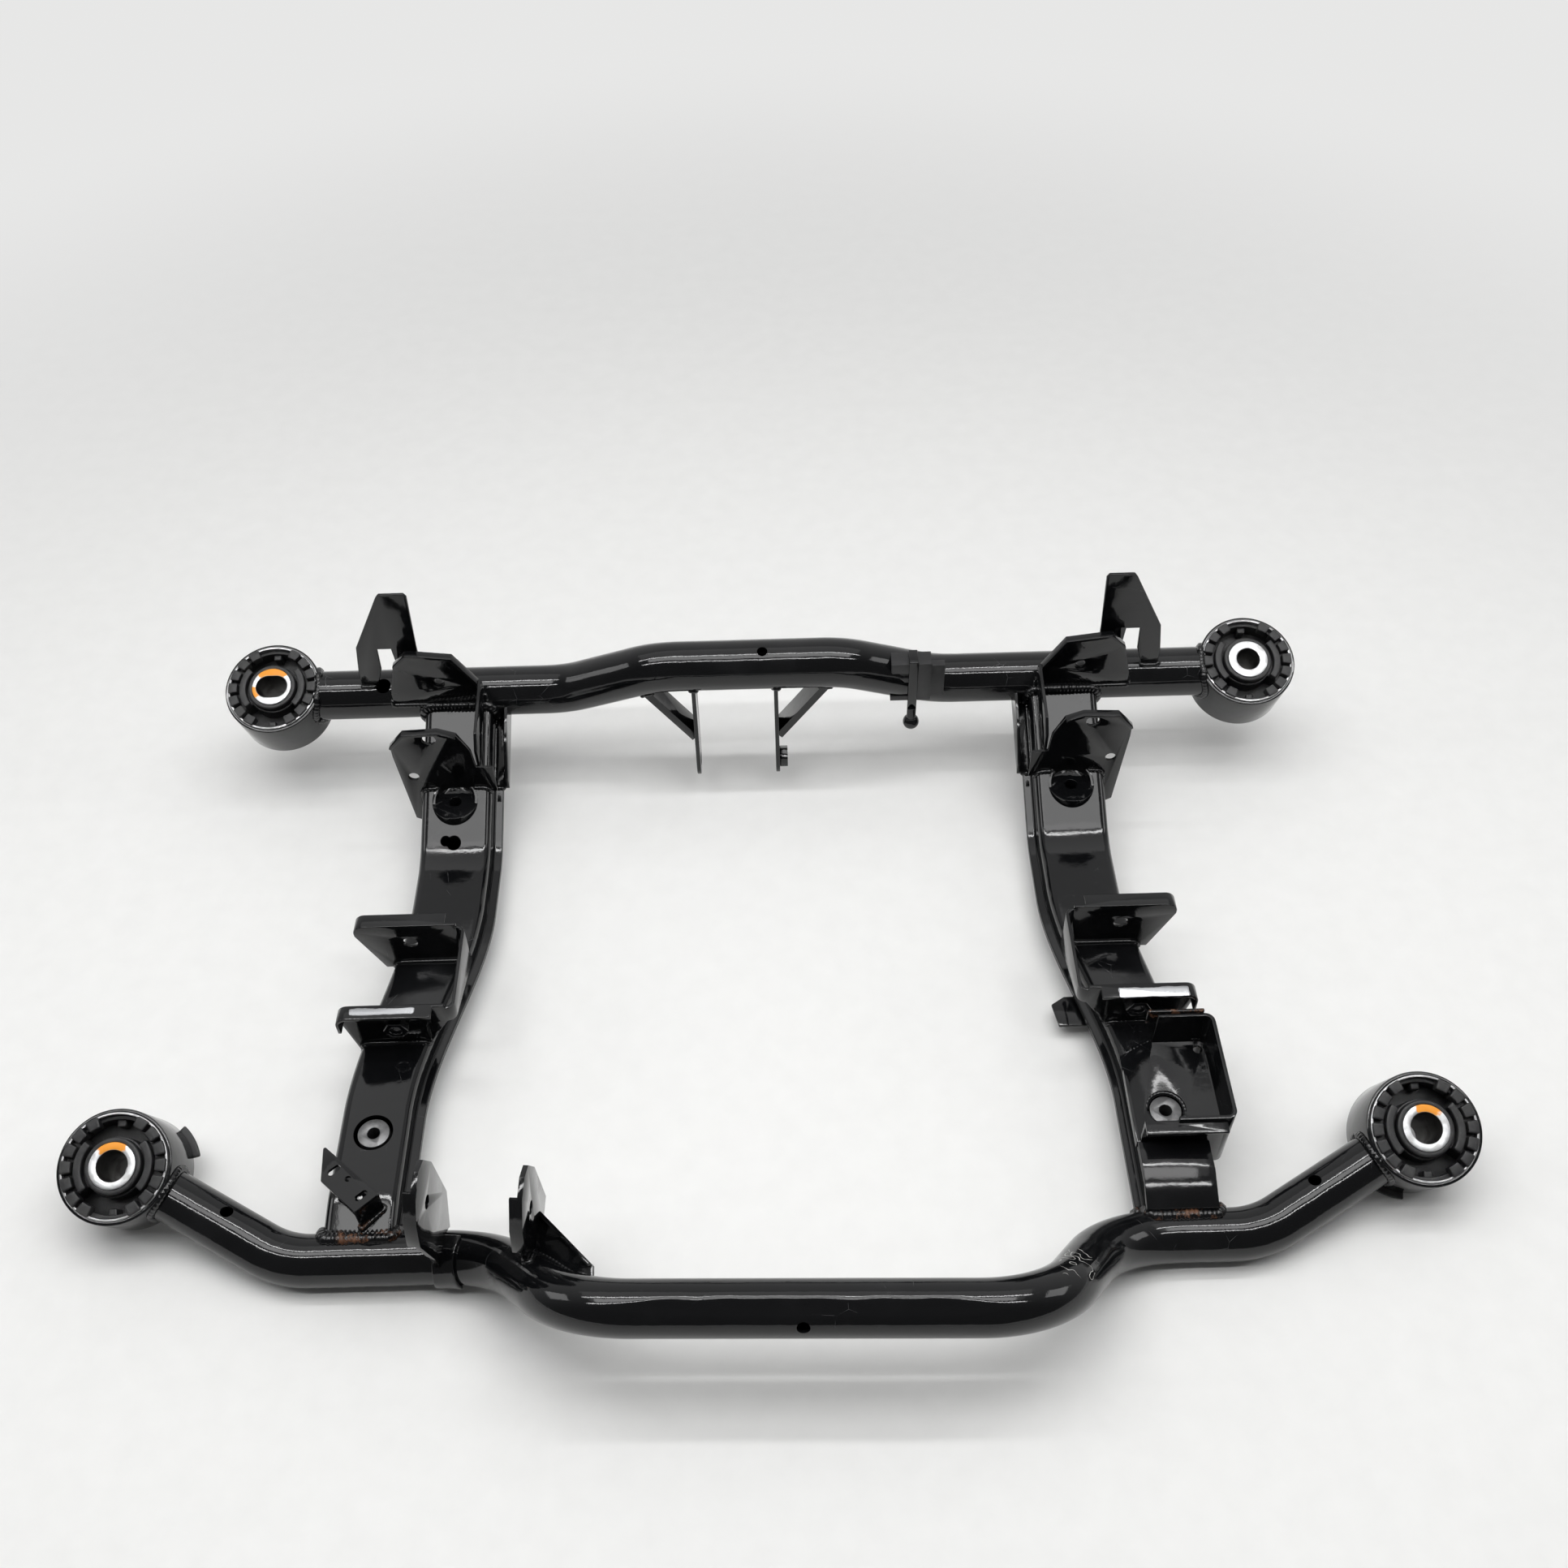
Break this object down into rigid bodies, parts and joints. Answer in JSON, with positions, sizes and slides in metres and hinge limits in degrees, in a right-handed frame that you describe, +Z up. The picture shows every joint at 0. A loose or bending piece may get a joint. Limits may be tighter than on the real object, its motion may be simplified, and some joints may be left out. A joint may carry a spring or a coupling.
{
  "type": "subframe",
  "caption": "Rear axle subframe of a car: two bent round tubes joined by two pressed box members, with rubber bushes in housings at the corners and brackets for links and arms.",
  "frame": {"origin": "middle of the footprint, on the ground that the frame lies on", "axes": "+X to the right side as the picture shows it, +Y from the near tube to the far tube, +Z up; the side members' level runs and the near tube's level runs lie on the ground and the four bush axes lean 23 degrees from +Z towards -Y"},
  "size_m": [1.153, 0.7258, 0.25],
  "materials": {
    "black_paint": "gloss black dip paint over pressed and drawn steel, scratched and worn at the edges, with light rust at a few welds",
    "bare_steel": "bare turned steel with fine scratches",
    "rubber": "moulded black rubber, satin",
    "clip_plastic": "moulded black plastic"
  },
  "bodies": {
    "root": {"front_tube": "black_paint", "rear_tube": "black_paint", "tube_band": "black_paint", "left_member_upper": "black_paint", "left_member_lower": "black_paint", "right_member_upper": "black_paint", "right_member_lower": "black_paint", "left_seat_collar": "bare_steel", "right_seat_collar": "bare_steel", "left_seat_boss": "black_paint", "right_seat_boss": "black_paint", "front_left_bush_housing": "black_paint", "front_right_bush_housing": "black_paint", "rear_left_bush_housing": "black_paint", "rear_right_bush_housing": "black_paint", "front_left_bush_shell": "bare_steel", "front_right_bush_shell": "bare_steel", "rear_left_bush_shell": "bare_steel", "rear_right_bush_shell": "bare_steel", "front_left_bush_rubber": "rubber", "front_right_bush_rubber": "rubber", "rear_left_bush_rubber": "rubber", "rear_right_bush_rubber": "rubber", "front_left_bush_core": "bare_steel", "front_right_bush_core": "bare_steel", "rear_left_bush_core": "bare_steel", "rear_right_bush_core": "bare_steel", "left_link_bracket": "black_paint", "right_link_bracket": "black_paint", "left_arm_bracket_rear": "black_paint", "right_arm_bracket_rear": "black_paint", "left_arm_bracket_front": "black_paint", "right_arm_bracket_front": "black_paint", "left_arm_brace": "black_paint", "right_arm_brace": "black_paint", "arm_bolt_nuts": "black_paint", "link_bolt_nuts": "black_paint", "left_upright": "black_paint", "right_upright": "black_paint", "middle_ear_left": "black_paint", "middle_ear_right": "black_paint", "middle_gusset_left": "black_paint", "middle_gusset_right": "black_paint", "middle_nut": "black_paint", "clip_clamp": "clip_plastic", "clip_strap": "black_paint", "ball_stud": "black_paint", "front_ear_left": "black_paint", "front_ear_right": "black_paint", "front_gusset": "black_paint", "front_ear_nut": "black_paint", "right_box_bracket": "black_paint", "right_box_strip": "black_paint", "right_saddle": "black_paint", "right_tab": "black_paint", "left_slotted_bracket": "black_paint"}
  },
  "joints": []
}
